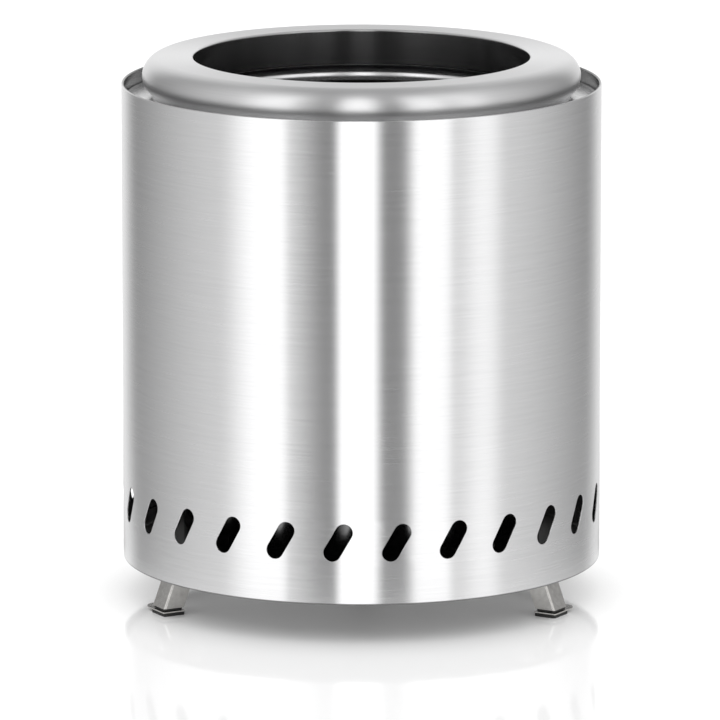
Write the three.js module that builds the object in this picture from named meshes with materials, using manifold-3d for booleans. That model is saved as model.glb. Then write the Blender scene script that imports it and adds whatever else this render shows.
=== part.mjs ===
// Smokeless fire pit with a double wall, in millimetres, +Z up.
// The origin is on the axis at floor level. Angles run from the front (-Y) towards the right (+X).
import * as THREE from 'three';
import { mergeVertices } from 'three/addons/utils/BufferGeometryUtils.js';
import Module from 'manifold-3d';

const wasm = await Module();
wasm.setup();

// Main sizes
const bodyDiameter = 400;
const bodyHeight = 401;
const groundClearance = 32.1;
const ringStandUp = 22;
const flangeDrop = 12;
const seatGap = 0.3;
const cutOverrun = 2;
const weldTolerance = 0.0001;

// Outer shell
const shellSheet = 1.2;
const rimHemHeight = 5;
const footHemHeight = 4;
const hemBlend = 1;
const hemChamfer = 0.6;
const slotCount = 26;
const slotWidth = 14.5;
const slotLength = 34;
const slotHeight = 52;
const slotSlant = THREE.MathUtils.degToRad(30);
const firstSlotAngle = THREE.MathUtils.degToRad(8.3);

// Base plate
const baseSheet = 1.5;
const baseRimHeight = 14;
const baseBend = 3;

// Burn chamber
const airGap = 49.6;
const chamberSheet = 1.2;
const mouthRound = 8;
const flangeLip = 8;
const chamberFootWidth = 9;
const lowAirHoles = 16;
const lowAirHoleDiameter = 14;
const lowAirHoleHeight = 24;
const highAirHoles = 24;
const highAirHoleDiameter = 8;
const highAirHoleDrop = 26;

// Flame ring
const ringSideGap = 16.3;
const ringOverhang = 8;
const ringSheet = 1.5;
const ringLipRound = 2;
const ringSkirtDepth = 30.5;
const ringRollRound = 16;
const ringUnderTurn = THREE.MathUtils.degToRad(40);
const ringFootInset = 8.3;
const ringFootRise = 2;

// Grate, its support and the ash pan
const grateClearance = 5.5;
const panClearance = 3.5;
const grateSheet = 2.5;
const grateHeight = 62;
const grateHoleDiameter = 16;
const grateRings = 3;
const grateHolesAddedPerRing = 6;
const grateRimWidth = 26.5;
const supportLap = 8;
const supportSheet = 1.5;
const supportLeg = 12;
const panSheet = 1;
const panDepth = 26;
const panDraft = 4;
const panLipWidth = 4;
const panFootWidth = 14;
const panFootDepth = 3;

// Ash pan handle
const strapSheet = 1.5;
const strapWidth = 16;
const strapSpan = 64;
const strapRise = 16;
const strapFoot = 18;
const strapRound = 5;

// Legs
const legAngles = { front_left: -61, front_right: 59, rear: 179 };
const tabSides = { front_left: -1, front_right: 1, rear: 1 };
const legSheet = 1.5;
const legWidth = 21.5;
const legDepth = 18.5;
const legBendRound = 2;
const legSplay = THREE.MathUtils.degToRad(21);
const legFootInset = 7;
const earLength = 58;
const earWidth = 21;
const padBlockHeight = 2.4;
const padCapHeight = 1.7;
const padOverhang = 0.6;
const padInset = 0.8;
const padCornerRound = 2;
const padNeckDiameter = 9;
const footSheet = 1.2;
const footWidth = 20.5;
const footTabReach = 26;
const footCornerRound = 1;

// Fasteners
const screwDiameter = 4;
const screwHeadDiameter = 8;
const screwHeadHeight = 2.6;
const screwEnd = 1.2;
const screwSpacing = 42;
const nutSides = 6;
const nutFlats = 7;
const nutHeight = 3.2;
const rivetDiameter = 4;
const rivetHeadDiameter = 7.6;
const rivetHeadHeight = 1.6;
const rivetTailHeight = 1.2;
const rivetSinkDepth = 1;
const rivetEndFace = 0.2;

// How finely round forms are cut
const shellFacets = 80;
const drumFacets = 48;
const boltFacets = 10;
const holeFacets = 8;
const arcSteps = 1;
const shoulderSteps = 2;
const rollSteps = 5;
const endSteps = 3;

// Heights that follow from the sizes
const shellTop = groundClearance + bodyHeight;
const baseBottom = groundClearance + footHemHeight + hemBlend + seatGap;
const baseTop = baseBottom + baseSheet;
const chamberBottom = baseTop + seatGap;
const flangeTop = shellTop - flangeDrop;
const ringFoot = flangeTop + seatGap;
const ringTop = shellTop + ringStandUp;
const supportTop = chamberBottom + grateHeight;
const grateBottom = supportTop + seatGap;
const panBottom = baseTop + seatGap;
const panFloor = panBottom + panFootDepth;
const earTop = baseBottom - seatGap;
const earBottom = earTop - legSheet;
const footBottom = padBlockHeight + seatGap;
const padCapBottom = footBottom + footSheet + seatGap;
const padTop = padCapBottom + padCapHeight;
const legBottom = padTop + seatGap;

// Radii that follow from the sizes
const shellOuter = bodyDiameter / 2;
const shellInner = shellOuter - shellSheet;
const hemInner = shellInner - shellSheet;
const baseOuter = shellInner - seatGap;
const chamberInner = shellInner - airGap - chamberSheet;
const ringInner = chamberInner - ringOverhang;
const ringOuter = shellInner - ringSideGap;
const grateOuter = ringInner - grateClearance;
const grateRingSpacing = (grateOuter - grateRimWidth) / grateRings;
const supportInner = grateOuter - supportLap;
const panOuter = supportInner - panClearance;
const legFootRadius = shellOuter - legFootInset;
const legFootMiddle = legFootRadius - legDepth / 2;
const earMiddle = legFootMiddle - (earBottom - legBottom) * Math.tan(legSplay);
const screwHole = screwDiameter / 2 + seatGap;
const rivetHole = rivetDiameter / 2 + seatGap;

// Turns a closed profile, given as radius and height, about the vertical axis.
function turned(profile, facets) {
  const geometry = new THREE.LatheGeometry(profile, facets);
  geometry.rotateX(Math.PI / 2);
  return geometry;
}

// A profile of sheet metal: the path is one face, and the metal lies on its left.
function sheetProfile(path, sheet, steps = arcSteps) {
  const face = path.getPoints(steps).filter(
    (point, i, all) => i === 0 || point.distanceTo(all[i - 1]) > weldTolerance,
  );
  const back = face.map((point, i) => {
    const before = face[Math.max(i - 1, 0)];
    const after = face[Math.min(i + 1, face.length - 1)];
    const into = (i === 0 ? after.clone().sub(point) : point.clone().sub(before)).normalize();
    const out = (i === face.length - 1 ? into.clone() : after.clone().sub(point)).normalize();
    const left = new THREE.Vector2(-into.y - out.y, into.x + out.x).normalize();
    const spread = left.dot(new THREE.Vector2(-into.y, into.x));
    return point.clone().addScaledVector(left, sheet / spread);
  });
  return [...face, ...back.reverse()];
}

function closed(profile) {
  return [...profile, profile[0].clone()];
}

// A solid that can be cut and joined.
function toSolid(geometry) {
  const bare = geometry.clone();
  bare.deleteAttribute('normal');
  bare.deleteAttribute('uv');
  const merged = mergeVertices(bare, weldTolerance);
  const index = merged.index.array;
  const corners = [];
  for (let i = 0; i < index.length; i += 3) {
    const [a, b, c] = index.slice(i, i + 3);
    if (a !== b && b !== c && c !== a) corners.push(a, b, c);
  }
  return new wasm.Manifold(new wasm.Mesh({
    numProp: 3,
    vertProperties: merged.attributes.position.array,
    triVerts: new Uint32Array(corners),
  }));
}

function toGeometry(solid) {
  const mesh = solid.getMesh();
  const geometry = new THREE.BufferGeometry();
  geometry.setAttribute('position', new THREE.BufferAttribute(Float32Array.from(mesh.vertProperties), 3));
  geometry.setIndex(new THREE.BufferAttribute(Uint32Array.from(mesh.triVerts), 1));
  geometry.computeVertexNormals();
  return geometry;
}

function cutFrom(geometry, cutters) {
  let solid = toSolid(geometry);
  for (const cutter of cutters) solid = solid.subtract(toSolid(cutter));
  return toGeometry(solid);
}

function joined(geometries) {
  return toGeometry(geometries.map(toSolid).reduce((whole, next) => whole.add(next)));
}

// An upright cylinder between two heights, centred on x and y.
function upright(radius, low, high, x = 0, y = 0, facets = boltFacets) {
  const geometry = new THREE.CylinderGeometry(radius, radius, high - low, facets);
  geometry.rotateX(Math.PI / 2);
  geometry.translate(x, y, (low + high) / 2);
  return geometry;
}

// A shape drawn as width and height, pushed outwards through a wall at an angle round the axis.
function outwardCutter(shape, from, to, height, angle, curveSegments) {
  const geometry = new THREE.ExtrudeGeometry(shape, { depth: to - from, bevelEnabled: false, curveSegments });
  geometry.translate(0, 0, from);
  geometry.rotateX(Math.PI / 2);
  geometry.translate(0, 0, height);
  geometry.rotateZ(angle);
  return geometry;
}

function circle(radius) {
  return new THREE.Shape().absarc(0, 0, radius, 0, 2 * Math.PI);
}

// An outline with two straight sides and round ends, long in x before it is turned.
function roundEnded(length, width, turn = 0) {
  const reach = (length - width) / 2;
  const round = width / 2;
  const shape = new THREE.Shape();
  const x = reach * Math.cos(turn);
  const y = reach * Math.sin(turn);
  shape.absarc(x, y, round, turn - Math.PI / 2, turn + Math.PI / 2);
  shape.absarc(-x, -y, round, turn + Math.PI / 2, turn + 1.5 * Math.PI);
  return shape;
}

function platform(shape, low, thickness, curveSegments = endSteps) {
  const geometry = new THREE.ExtrudeGeometry(shape, { depth: thickness, bevelEnabled: false, curveSegments });
  geometry.translate(0, 0, low);
  return geometry;
}

// The shell is one wall, folded over inwards at the rim and at the foot.
function outerShell() {
  const outline = new THREE.Path();
  outline.moveTo(shellOuter, groundClearance);
  outline.lineTo(shellOuter, shellTop - hemChamfer);
  outline.lineTo(shellOuter - hemChamfer, shellTop);
  outline.lineTo(hemInner + hemChamfer, shellTop);
  outline.lineTo(hemInner, shellTop - hemChamfer);
  outline.lineTo(hemInner, shellTop - rimHemHeight);
  outline.lineTo(shellInner, shellTop - rimHemHeight - hemBlend);
  outline.lineTo(shellInner, groundClearance + footHemHeight + hemBlend);
  outline.lineTo(hemInner, groundClearance + footHemHeight);
  outline.lineTo(hemInner, groundClearance);
  const profile = outline.getPoints();
  const slots = [];
  for (let i = 0; i < slotCount; i += 1) {
    slots.push(outwardCutter(
      roundEnded(slotLength, slotWidth, Math.PI / 2 - slotSlant),
      hemInner - cutOverrun,
      shellOuter + cutOverrun,
      groundClearance + slotHeight,
      firstSlotAngle + (i * 2 * Math.PI) / slotCount,
      endSteps,
    ));
  }
  return cutFrom(turned(closed(profile), shellFacets), slots);
}

// A flat pressing with its edge turned up inside the shell. It lies on the shell's lower hem.
function basePlate() {
  const outline = new THREE.Path();
  outline.moveTo(0, baseBottom);
  outline.lineTo(baseOuter - baseBend, baseBottom);
  outline.absarc(baseOuter - baseBend, baseBottom + baseBend, baseBend, -Math.PI / 2, 0);
  outline.lineTo(baseOuter, baseBottom + baseRimHeight);
  const plate = turned(sheetProfile(outline, baseSheet), drumFacets);
  const holes = Object.values(legAngles).flatMap((degrees) => (
    screwPlaces(degrees).map(([x, y]) => (
      upright(screwHole, baseBottom - cutOverrun, baseTop + cutOverrun, x, y)
    ))
  ));
  return cutFrom(plate, holes);
}

// The drum, its rounded mouth, and the flange that closes the double wall.
function burnChamber() {
  const outline = new THREE.Path();
  const lipOuter = shellInner - seatGap;
  const footTop = chamberBottom + chamberSheet;
  outline.moveTo(lipOuter, flangeTop - flangeLip);
  outline.lineTo(lipOuter, flangeTop);
  outline.lineTo(chamberInner + mouthRound, flangeTop);
  outline.absarc(chamberInner + mouthRound, flangeTop - mouthRound, mouthRound, Math.PI / 2, Math.PI);
  outline.lineTo(chamberInner, footTop);
  outline.lineTo(chamberInner - chamberFootWidth, footTop);
  const drum = turned(closed(sheetProfile(outline, chamberSheet)), drumFacets);
  return cutFrom(drum, [
    ...airHoles(lowAirHoles, lowAirHoleDiameter, chamberBottom + lowAirHoleHeight),
    ...airHoles(highAirHoles, highAirHoleDiameter, flangeTop - highAirHoleDrop),
  ]);
}

function airHoles(count, diameter, height) {
  const holes = [];
  for (let i = 0; i < count; i += 1) {
    holes.push(outwardCutter(
      circle(diameter / 2),
      chamberInner - cutOverrun,
      chamberInner + chamberSheet + cutOverrun,
      height,
      (i * 2 * Math.PI) / count,
      holeFacets / 2,
    ));
  }
  return holes;
}

// A pressed ring: a foot, a rolled edge that turns under, a flat top, a rounded lip and an inner skirt.
function flameRing() {
  const outline = new THREE.Path();
  const footRadius = ringOuter - ringFootInset;
  const rollMiddle = ringOuter - ringRollRound;
  outline.moveTo(footRadius, ringFoot);
  outline.lineTo(footRadius, ringFoot + ringFootRise);
  outline.absarc(rollMiddle, ringTop - ringRollRound, ringRollRound, -ringUnderTurn, Math.PI / 2);
  outline.lineTo(ringInner + ringLipRound, ringTop);
  outline.absarc(ringInner + ringLipRound, ringTop - ringLipRound, ringLipRound, Math.PI / 2, Math.PI);
  outline.lineTo(ringInner, ringTop - ringSkirtDepth);
  return turned(closed(sheetProfile(outline, ringSheet, rollSteps)), drumFacets);
}

// An angle ring on the drum's wall.
function grateSupportRing() {
  const outline = new THREE.Path();
  const wall = chamberInner - seatGap;
  outline.moveTo(wall, supportTop - supportLeg);
  outline.lineTo(wall, supportTop);
  outline.lineTo(supportInner, supportTop);
  return turned(closed(sheetProfile(outline, supportSheet)), drumFacets);
}

// A round plate with rings of holes: one in the middle, then more in each ring outwards.
function fireGrate() {
  const places = [[0, 0]];
  for (let ring = 1; ring <= grateRings; ring += 1) {
    const holes = ring * grateHolesAddedPerRing;
    for (let i = 0; i < holes; i += 1) {
      const angle = ((i + (ring % 2) / 2) * 2 * Math.PI) / holes;
      places.push([ring * grateRingSpacing * Math.cos(angle), ring * grateRingSpacing * Math.sin(angle)]);
    }
  }
  const grateTop = grateBottom + grateSheet;
  const holes = places.map(([x, y]) => (
    upright(grateHoleDiameter / 2, grateBottom - cutOverrun, grateTop + cutOverrun, x, y, holeFacets)
  ));
  return cutFrom(upright(grateOuter, grateBottom, grateTop, 0, 0, drumFacets), holes);
}

// A tray that stands on a pressed foot ring, so that its floor is clear of the base.
function ashPan() {
  const outline = new THREE.Path();
  const wallTop = panBottom + panDepth;
  const footOuter = panOuter - panLipWidth - panDraft;
  const footInner = footOuter - panFootWidth;
  outline.moveTo(0, panFloor);
  outline.lineTo(footInner - panFootDepth, panFloor);
  outline.lineTo(footInner, panBottom);
  outline.lineTo(footOuter, panBottom);
  outline.lineTo(panOuter - panLipWidth, wallTop - panSheet);
  outline.lineTo(panOuter, wallTop - panSheet);
  const pan = turned(sheetProfile(outline, panSheet), drumFacets);
  const holes = [-1, 1].map((side) => (
    upright(rivetHole, panFloor - cutOverrun, panFloor + panSheet + cutOverrun, side * panRivetReach())
  ));
  return cutFrom(pan, holes);
}

// Distance from the axis to the middle of each handle foot.
function panRivetReach() {
  return strapSpan / 2 + strapFoot / 2;
}

// A strap bent up into a low bridge, with a flat foot at each end.
function ashPanHandle() {
  const low = panFloor + panSheet + seatGap;
  const outline = new THREE.Path();
  const half = strapSpan / 2;
  outline.moveTo(-half - strapFoot, 0);
  outline.lineTo(-half, 0);
  outline.lineTo(-half, strapRise - strapRound);
  outline.absarc(-half + strapRound, strapRise - strapRound, strapRound, Math.PI, Math.PI / 2, true);
  outline.lineTo(half - strapRound, strapRise);
  outline.absarc(half - strapRound, strapRise - strapRound, strapRound, Math.PI / 2, 0, true);
  outline.lineTo(half, 0);
  outline.lineTo(half + strapFoot, 0);
  const strap = new THREE.ExtrudeGeometry(new THREE.Shape(sheetProfile(outline, strapSheet)), {
    depth: strapWidth, bevelEnabled: false,
  });
  strap.rotateX(Math.PI / 2);
  strap.translate(0, strapWidth / 2, low);
  const holes = [-1, 1].map((side) => (
    upright(rivetHole, low - cutOverrun, low + strapSheet + cutOverrun, side * panRivetReach())
  ));
  return cutFrom(strap, holes);
}

// A rivet with a domed head above the strap and a flat tail under the pan's floor.
function panRivet() {
  const seat = panFloor + panSheet + seatGap + strapSheet + seatGap;
  const tail = panFloor - seatGap;
  return turned(rivetProfile(seat, tail, tail - rivetTailHeight), boltFacets);
}

function rivetProfile(headSeat, tailSeat, tailEnd) {
  const head = rivetHeadDiameter / 2;
  const shank = rivetDiameter / 2;
  return [
    new THREE.Vector2(0, tailEnd),
    new THREE.Vector2(head - rivetEndFace, tailEnd),
    new THREE.Vector2(head, tailEnd + rivetEndFace),
    new THREE.Vector2(head, tailSeat),
    new THREE.Vector2(shank, tailSeat),
    new THREE.Vector2(shank, headSeat),
    new THREE.Vector2(head, headSeat),
    new THREE.Vector2(head * Math.cos(Math.PI / 4), headSeat + rivetHeadHeight * Math.sin(Math.PI / 4)),
    new THREE.Vector2(0, headSeat + rivetHeadHeight),
  ];
}

// Moves metal inwards as it rises, which splays a leg.
function splayed(geometry) {
  const shear = new THREE.Matrix4().makeShear(0, 0, 0, 0, 0, Math.tan(legSplay));
  return geometry.applyMatrix4(shear);
}

function channelShape() {
  const half = legWidth / 2;
  const inner = half - legSheet;
  const shape = new THREE.Shape();
  shape.moveTo(half, legDepth);
  shape.lineTo(inner, legDepth);
  shape.lineTo(inner, legSheet);
  shape.lineTo(-inner, legSheet);
  shape.lineTo(-inner, legDepth);
  shape.lineTo(-half, legDepth);
  shape.absarc(-half + legBendRound, legBendRound, legBendRound, Math.PI, 1.5 * Math.PI);
  shape.absarc(half - legBendRound, legBendRound, legBendRound, 1.5 * Math.PI, 2 * Math.PI);
  return shape;
}

// A channel with its web outwards, a closed bottom, and a round-ended plate across its top.
function leg() {
  const channel = new THREE.ExtrudeGeometry(channelShape(), {
    depth: earTop - legSheet / 2 - legBottom, bevelEnabled: false, curveSegments: shoulderSteps,
  });
  const inside = legWidth - legSheet;
  const tab = new THREE.BoxGeometry(inside, legDepth - legSheet, legSheet);
  tab.translate(0, legDepth / 2, legSheet / 2);
  const foot = [splayed(channel), splayed(tab)];
  foot.forEach((geometry) => geometry.translate(0, -legFootRadius, legBottom));
  const ears = platform(roundEnded(earLength, earWidth), earBottom, legSheet);
  ears.translate(0, -earMiddle, 0);
  const screwHoles = [-1, 1].map((side) => (
    upright(screwHole, earBottom - cutOverrun, earTop + cutOverrun, (side * screwSpacing) / 2, -earMiddle)
  ));
  const tabTop = legBottom + legSheet;
  const rivetWay = upright(rivetHole, legBottom - cutOverrun, tabTop + cutOverrun, 0, -legFootMiddle);
  return cutFrom(joined([...foot, ears]), [...screwHoles, rivetWay]);
}

// Places of one leg's two screws in the plan.
function screwPlaces(degrees) {
  const angle = THREE.MathUtils.degToRad(degrees);
  return [-1, 1].map((side) => {
    const place = new THREE.Vector2((side * screwSpacing) / 2, -earMiddle);
    place.rotateAround(new THREE.Vector2(), angle);
    return [place.x, place.y];
  });
}

// A rectangle with small rounds at its corners, centred on the leg's foot.
function roundedBlock(width, depth, round) {
  const half = width / 2 - round;
  const deep = depth / 2 - round;
  const shape = new THREE.Shape();
  shape.absarc(half, deep, round, 0, Math.PI / 2);
  shape.absarc(-half, deep, round, Math.PI / 2, Math.PI);
  shape.absarc(-half, -deep, round, Math.PI, 1.5 * Math.PI);
  shape.absarc(half, -deep, round, 1.5 * Math.PI, 2 * Math.PI);
  return shape;
}

// The widening at the foot of the rivet's hole.
function rivetSink() {
  const wide = rivetHeadDiameter / 2 + seatGap;
  return turned([
    new THREE.Vector2(0, -cutOverrun),
    new THREE.Vector2(wide + cutOverrun, -cutOverrun),
    new THREE.Vector2(wide, 0),
    new THREE.Vector2(rivetHole, rivetSinkDepth),
    new THREE.Vector2(rivetHole, padTop + cutOverrun),
    new THREE.Vector2(0, padTop + cutOverrun),
  ], boltFacets);
}

// A rubber pad moulded round the foot plate: a block below it, a cap above it, and a neck through it.
function footPad() {
  const overhang = 2 * padOverhang;
  const inset = 2 * padInset;
  const block = roundedBlock(legWidth + overhang, legDepth + overhang, padCornerRound);
  const cap = roundedBlock(legWidth - inset, legDepth - inset, padCornerRound);
  const whole = joined([
    platform(block, 0, padBlockHeight, shoulderSteps),
    platform(cap, padCapBottom, padCapHeight, shoulderSteps),
    upright(padNeckDiameter / 2, padBlockHeight / 2, padCapBottom + padCapHeight / 2),
  ]);
  const pad = cutFrom(whole, [rivetSink()]);
  pad.translate(0, -legFootMiddle, 0);
  return pad;
}

// A thin plate, square at one end, with a round-ended tab at the other.
function footPlate(side) {
  const deep = footWidth / 2;
  const end = -legWidth / 2 - padOverhang + footCornerRound;
  const shape = new THREE.Shape();
  shape.absarc(footTabReach - deep, 0, deep, -Math.PI / 2, Math.PI / 2);
  shape.absarc(end, deep - footCornerRound, footCornerRound, Math.PI / 2, Math.PI);
  shape.absarc(end, -deep + footCornerRound, footCornerRound, Math.PI, 1.5 * Math.PI);
  const plate = platform(shape, footBottom, footSheet);
  if (side < 0) plate.rotateZ(Math.PI);
  const neckHole = upright(padNeckDiameter / 2 + seatGap, footBottom - cutOverrun, padTop);
  const whole = cutFrom(plate, [neckHole]);
  whole.translate(0, -legFootMiddle, 0);
  return whole;
}

// A countersunk rivet from under the pad up into the leg.
function footRivet() {
  const seat = legBottom + legSheet + seatGap;
  const head = rivetHeadDiameter / 2;
  const shank = rivetDiameter / 2;
  const rivet = turned([
    new THREE.Vector2(0, rivetEndFace),
    new THREE.Vector2(head - rivetEndFace, rivetEndFace),
    new THREE.Vector2(shank, rivetSinkDepth),
    new THREE.Vector2(shank, seat),
    new THREE.Vector2(head, seat),
    new THREE.Vector2(head * Math.cos(Math.PI / 4), seat + rivetHeadHeight * Math.sin(Math.PI / 4)),
    new THREE.Vector2(0, seat + rivetHeadHeight),
  ], boltFacets);
  rivet.translate(0, -legFootMiddle, 0);
  return rivet;
}

// A button-headed screw from below.
function legScrew() {
  const headTop = earBottom - seatGap;
  const end = baseTop + seatGap + nutHeight + screwEnd;
  const head = screwHeadDiameter / 2;
  const shank = screwDiameter / 2;
  return turned([
    new THREE.Vector2(0, headTop - screwHeadHeight),
    new THREE.Vector2(head / 2, headTop - screwHeadHeight),
    new THREE.Vector2(head, headTop - screwHeadHeight / 2),
    new THREE.Vector2(head, headTop),
    new THREE.Vector2(shank, headTop),
    new THREE.Vector2(shank, end),
    new THREE.Vector2(0, end),
  ], boltFacets);
}

function legNut() {
  const low = baseTop + seatGap;
  const corner = nutFlats / 2 / Math.cos(Math.PI / nutSides);
  const block = upright(corner, low, low + nutHeight, 0, 0, nutSides);
  return cutFrom(block, [upright(screwHole, low - cutOverrun, low + nutHeight + cutOverrun)]);
}

const finishes = {
  brushed: { color: 0xc4c6c8, roughness: 0.34, metalness: 1 },
  polished: { color: 0xcfd1d3, roughness: 0.18, metalness: 1 },
  inner: { color: 0x8d8f91, roughness: 0.42, metalness: 1 },
  plain: { color: 0xb3b1ad, roughness: 0.4, metalness: 1 },
  zinc: { color: 0xa9abad, roughness: 0.35, metalness: 1 },
  black: { color: 0x151515, roughness: 0.75, metalness: 0 },
};

const firePit = new THREE.Group();

function addPiece(name, geometry, finish, parent = firePit) {
  const mesh = new THREE.Mesh(geometry, new THREE.MeshStandardMaterial(finishes[finish]));
  mesh.name = name;
  parent.add(mesh);
  return mesh;
}

function addLeg(place, degrees) {
  const group = new THREE.Group();
  group.rotation.z = THREE.MathUtils.degToRad(degrees);
  firePit.add(group);
  addPiece(`leg_${place}`, leg(), 'plain', group);
  addPiece(`foot_pad_${place}`, footPad(), 'black', group);
  addPiece(`foot_plate_${place}`, footPlate(tabSides[place]), 'plain', group);
  addPiece(`foot_rivet_${place}`, footRivet(), 'zinc', group);
  screwPlaces(degrees).forEach(([x, y], i) => {
    addPiece(`leg_screw_${place}_${i + 1}`, legScrew(), 'zinc').position.set(x, y, 0);
    addPiece(`leg_nut_${place}_${i + 1}`, legNut(), 'zinc').position.set(x, y, 0);
  });
}

addPiece('outer_shell', outerShell(), 'brushed');
addPiece('base_plate', basePlate(), 'inner');
addPiece('burn_chamber', burnChamber(), 'inner');
addPiece('grate_support_ring', grateSupportRing(), 'inner');
addPiece('flame_ring', flameRing(), 'polished');
addPiece('fire_grate', fireGrate(), 'inner');
addPiece('ash_pan', ashPan(), 'inner');
addPiece('ash_pan_handle', ashPanHandle(), 'plain');
addPiece('ash_pan_rivet_left', panRivet(), 'zinc').position.x = -panRivetReach();
addPiece('ash_pan_rivet_right', panRivet(), 'zinc').position.x = panRivetReach();
Object.entries(legAngles).forEach(([place, degrees]) => addLeg(place, degrees));

export default firePit;
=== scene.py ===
import math

import bmesh
import bpy
from mathutils import Matrix, Vector


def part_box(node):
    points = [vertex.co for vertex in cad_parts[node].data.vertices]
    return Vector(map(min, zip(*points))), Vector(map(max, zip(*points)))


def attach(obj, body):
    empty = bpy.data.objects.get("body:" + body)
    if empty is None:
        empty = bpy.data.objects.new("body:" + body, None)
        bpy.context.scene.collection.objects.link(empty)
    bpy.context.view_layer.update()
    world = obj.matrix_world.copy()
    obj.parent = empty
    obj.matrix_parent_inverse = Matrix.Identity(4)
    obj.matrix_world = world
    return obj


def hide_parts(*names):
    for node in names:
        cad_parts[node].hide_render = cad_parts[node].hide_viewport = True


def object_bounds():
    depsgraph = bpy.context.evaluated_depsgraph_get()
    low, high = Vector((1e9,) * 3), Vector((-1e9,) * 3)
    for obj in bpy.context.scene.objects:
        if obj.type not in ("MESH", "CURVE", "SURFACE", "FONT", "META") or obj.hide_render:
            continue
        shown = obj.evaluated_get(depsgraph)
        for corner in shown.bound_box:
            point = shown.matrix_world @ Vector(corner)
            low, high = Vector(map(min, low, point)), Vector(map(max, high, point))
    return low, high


# A smokeless fire pit of brushed steel: finished meshes for all its pieces, their materials and a studio
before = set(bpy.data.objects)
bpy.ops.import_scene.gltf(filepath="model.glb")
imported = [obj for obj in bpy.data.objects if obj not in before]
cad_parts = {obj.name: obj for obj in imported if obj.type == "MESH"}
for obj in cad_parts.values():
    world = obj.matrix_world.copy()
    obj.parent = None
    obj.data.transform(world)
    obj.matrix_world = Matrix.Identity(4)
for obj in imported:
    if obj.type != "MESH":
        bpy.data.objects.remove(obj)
cad_low, cad_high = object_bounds()
scene = bpy.context.scene

# Camera, in metres and degrees, seen from the front and a little above
CAMERA_DISTANCE = 6.51
CAMERA_HEIGHT = 1.4918
CAMERA_SIDE = -0.00125
CAMERA_PITCH = math.radians(11.25)
CAMERA_LENS = 396.25
CAMERA_CLIP = (0.1, 100)

# Fineness of round forms
WALL_COLUMNS = 520
DRUM_COLUMNS = 384
ROUND_COLUMNS = 192
SMALL_COLUMNS = 36
BEND_STEP = math.radians(7.5)
EASE_STEPS = 2
EDGE_SEGMENTS = 2
EDGE_ROUNDNESS = 0.5
PLATE_EDGE_STEPS = 1
ROUND_END_STEPS = 16
DOME_STEPS = 6
HOLE_RINGS = 4
HOLE_RING_EASE = 1.6
SHARP_ANGLE = math.radians(32)
WELD = 1e-6
HEX_SIDES = 6

# Outer shell
SHELL_SHEET = 0.0012
RIM_HEM = 0.005
FOOT_HEM = 0.004
FOLD_GAP = 0.0003
SLOT_COUNT = 26
SLOT_WIDTH = 0.0145
SLOT_LENGTH = 0.034
SLOT_HEIGHT = 0.052
SLOT_SLANT = math.radians(30)
FIRST_SLOT = math.radians(8.3)
SLOT_CELL_HALF = 0.021
SLOT_ROWS = 16
CUT_EDGE = 0.0002

# Flame ring
RING_SHEET = 0.0015
RING_OPENING = 0.14
RING_LIP_ROUND = 0.002
RING_SKIRT = 0.0305
RING_ROLL = 0.016
RING_UNDER_TURN = math.radians(40)
RING_FOOT_RISE = 0.002
RING_FOOT_BEND = 0.003
RING_HEM = 0.004

# Burn chamber
DRUM_SHEET = 0.0012
DRUM_BORE = 0.148
MOUTH_ROUND = 0.008
FLANGE_LIP = 0.008
FLANGE_ROUND = 0.002
DRUM_FOOT = 0.009
LOW_HOLES = 16
LOW_HOLE_RADIUS = 0.007
LOW_HOLE_HEIGHT = 0.024
LOW_CELL_HALF = 0.012
HIGH_HOLES = 24
HIGH_HOLE_RADIUS = 0.004
HIGH_HOLE_DROP = 0.026
HIGH_CELL_HALF = 0.008
DRUM_HOLE_ROWS = 8

# Base plate, grate, its support and the ash pan
BASE_SHEET = 0.0015
BASE_BEND = 0.003
SUPPORT_SHEET = 0.0015
SUPPORT_OPENING = 0.1265
SUPPORT_BEND = 0.002
GRATE_HOLE_RADIUS = 0.008
GRATE_RINGS = 3
GRATE_HOLES_PER_RING = 6
GRATE_RIM = 0.0265
GRATE_EDGE = 0.0004
PAN_SHEET = 0.001
PAN_DRAFT = 0.004
PAN_LIP = 0.004
PAN_FOOT_WIDTH = 0.014
PAN_FOOT_DEPTH = 0.003
PAN_BEND = 0.002
STRAP_SHEET = 0.0015
STRAP_FOOT = 0.018
STRAP_BEND = 0.005
STRAP_FOOT_BEND = 0.002

# Legs
LEG_ANGLES = {"front_left": -61, "front_right": 59, "rear": 179}
TAB_SIDES = {"front_left": -1, "front_right": 1, "rear": 1}
LEG_SHEET = 0.0015
LEG_WIDTH = 0.0215
LEG_DEPTH = 0.0185
LEG_REACH = 0.193
LEG_BEND = 0.002
LEG_SPLAY = math.radians(21)
LEG_MIDDLE = LEG_REACH - LEG_DEPTH / 2
EAR_LENGTH = 0.058
EAR_WIDTH = 0.021
PAD_BLOCK_HEIGHT = 0.0024
PAD_SHADE_CAP_HEIGHT = 0.0017
PAD_OVERHANG = 0.0006
PAD_INSET = 0.0008
PAD_NECK = 0.0045
PAD_ROUND = 0.002
PAD_SINK = 0.0041
PLATE_WIDTH = 0.0205
PLATE_TAB_REACH = 0.026
PLATE_CORNER = 0.001
SHEET_EDGE = 0.00025

# Fasteners
SCREW_HEAD_RADIUS = 0.004
SCREW_HEAD_HEIGHT = 0.0026
SCREW_SHANK = 0.002
SOCKET_FLAT = 0.00125
SOCKET_RIM = 0.0019
SOCKET_DEPTH = 0.0014
NUT_FLAT = 0.0035
NUT_CHAMFER_SHARE = 1 / 8
RIVET_HEAD_HEIGHT = 0.0016
RIVET_SHANK = 0.002
THREAD_GAP = 0.0003

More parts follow.
